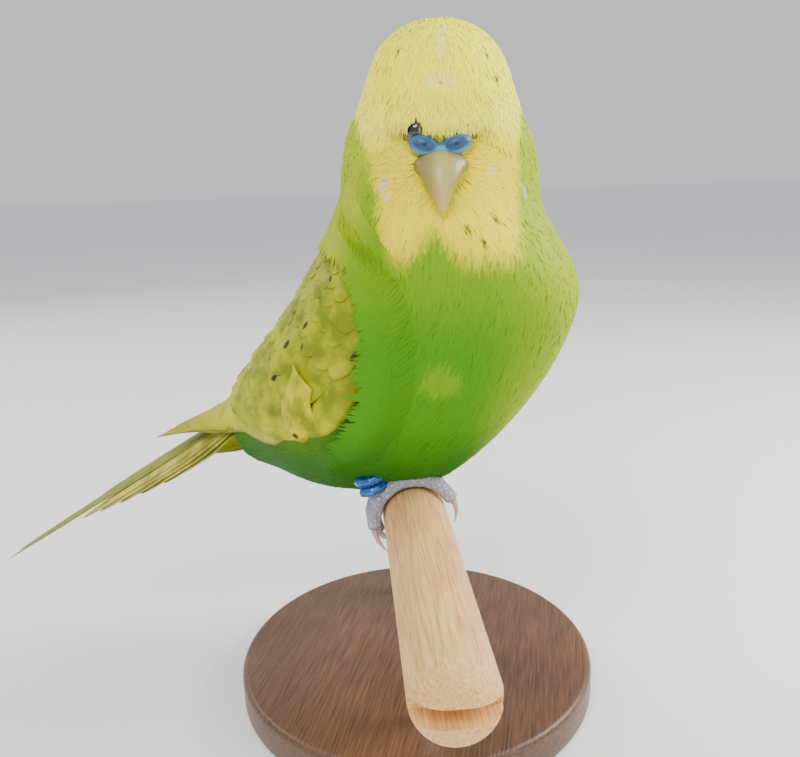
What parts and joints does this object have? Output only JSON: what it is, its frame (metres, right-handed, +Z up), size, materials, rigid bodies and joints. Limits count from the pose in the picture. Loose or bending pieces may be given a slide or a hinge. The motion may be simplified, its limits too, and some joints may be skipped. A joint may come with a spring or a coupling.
{
  "type": "budgerigar model on display perch",
  "caption": "Life-size still model of a green and yellow budgerigar on a short wooden perch, head turned and lowered, on a plain round display stand.",
  "frame": {"origin": "centre of the round base's flat underside, on the floor", "axes": "+Z up; the bird's breast faces -Y and its left side is +X; the perch runs level, 35.65 degrees from +X towards +Y"},
  "size_m": [0.1077, 0.1666, 0.1496],
  "materials": {
    "plumage_green": "soft feathered",
    "plumage_yellow": "soft feathered",
    "wing_yellow": "smooth feathered, scalloped",
    "tail_yellow": "smooth feathered",
    "eye_dark": "glossy",
    "cere_blue": "waxy skin",
    "bill_horn": "satin horn",
    "skin_grey": "scaly skin",
    "claw_horn": "satin horn",
    "ring_blue": "glossy",
    "perch_wood": "bare, slightly worn",
    "stand_wood": "satin",
    "rod_steel": "brushed"
  },
  "bodies": {
    "root": {"head": "plumage_yellow", "neck": "plumage_yellow", "torso": "plumage_green", "rump": "plumage_green", "cere": "cere_blue", "bill_upper": "bill_horn", "bill_lower": "bill_horn", "eye_right": "eye_dark", "eye_left": "eye_dark", "eyelid_right": "skin_grey", "eyelid_left": "skin_grey", "wing_right": "wing_yellow", "wing_left": "wing_yellow", "tail": "tail_yellow", "thigh_right": "plumage_green", "thigh_left": "plumage_green", "foot_right": "skin_grey", "foot_left": "skin_grey", "claw_right_1": "claw_horn", "claw_right_2": "claw_horn", "claw_right_3": "claw_horn", "claw_right_4": "claw_horn", "claw_left_1": "claw_horn", "claw_left_2": "claw_horn", "claw_left_3": "claw_horn", "claw_left_4": "claw_horn", "leg_ring": "ring_blue", "perch": "perch_wood", "stand_base": "stand_wood", "stand_rod_1": "rod_steel", "stand_rod_2": "rod_steel"}
  },
  "joints": []
}
